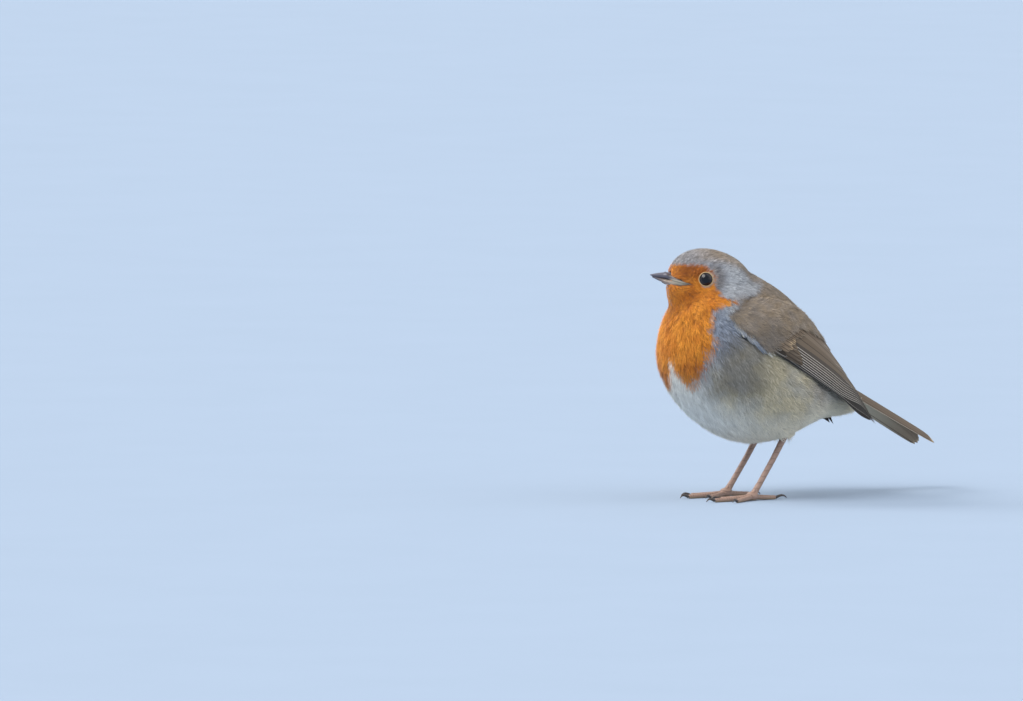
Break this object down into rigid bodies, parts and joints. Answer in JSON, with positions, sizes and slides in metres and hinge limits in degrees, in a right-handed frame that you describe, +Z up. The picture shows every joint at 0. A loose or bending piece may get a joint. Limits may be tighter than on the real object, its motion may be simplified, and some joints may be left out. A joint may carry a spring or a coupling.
{
  "type": "robin",
  "caption": "A still, life-size museum model of a European robin that stands on both feet, round in its fluffed winter coat, its head turned to its right.",
  "frame": {"origin": "on the floor, under the middle of the bird's length and width", "axes": "+Z up, -Y the way the body faces, +X the bird's left side"},
  "size_m": [0.0532, 0.115, 0.0901],
  "materials": {
    "plumage": "soft downy feathers in orange, blue-grey, olive brown and white",
    "wing_feathers": "smooth brown vanes with pale edges, slightly silky",
    "horn": "dark polished horn",
    "leg_skin": "brown scaled skin",
    "eye": "wet black-brown, glossy"
  },
  "bodies": {
    "root": {"bill_lower": "horn", "bill_upper": "horn", "claw_left_hind": "horn", "claw_left_inner": "horn", "claw_left_middle": "horn", "claw_left_outer": "horn", "claw_right_hind": "horn", "claw_right_inner": "horn", "claw_right_middle": "horn", "claw_right_outer": "horn", "eye_left": "eye", "eye_right": "eye", "foot_left": "leg_skin", "foot_right": "leg_skin", "head": "plumage", "neck": "plumage", "rump": "plumage", "tail_centre": "wing_feathers", "tail_left": "wing_feathers", "tail_right": "wing_feathers", "tarsus_left": "leg_skin", "tarsus_right": "leg_skin", "thigh_left": "plumage", "thigh_right": "plumage", "toe_left_hind": "leg_skin", "toe_left_inner": "leg_skin", "toe_left_middle": "leg_skin", "toe_left_outer": "leg_skin", "toe_right_hind": "leg_skin", "toe_right_inner": "leg_skin", "toe_right_middle": "leg_skin", "toe_right_outer": "leg_skin", "trunk": "plumage", "wing_left_coverts": "wing_feathers", "wing_left_primaries": "wing_feathers", "wing_left_secondaries": "wing_feathers", "wing_right_coverts": "wing_feathers", "wing_right_primaries": "wing_feathers", "wing_right_secondaries": "wing_feathers"}
  },
  "joints": []
}
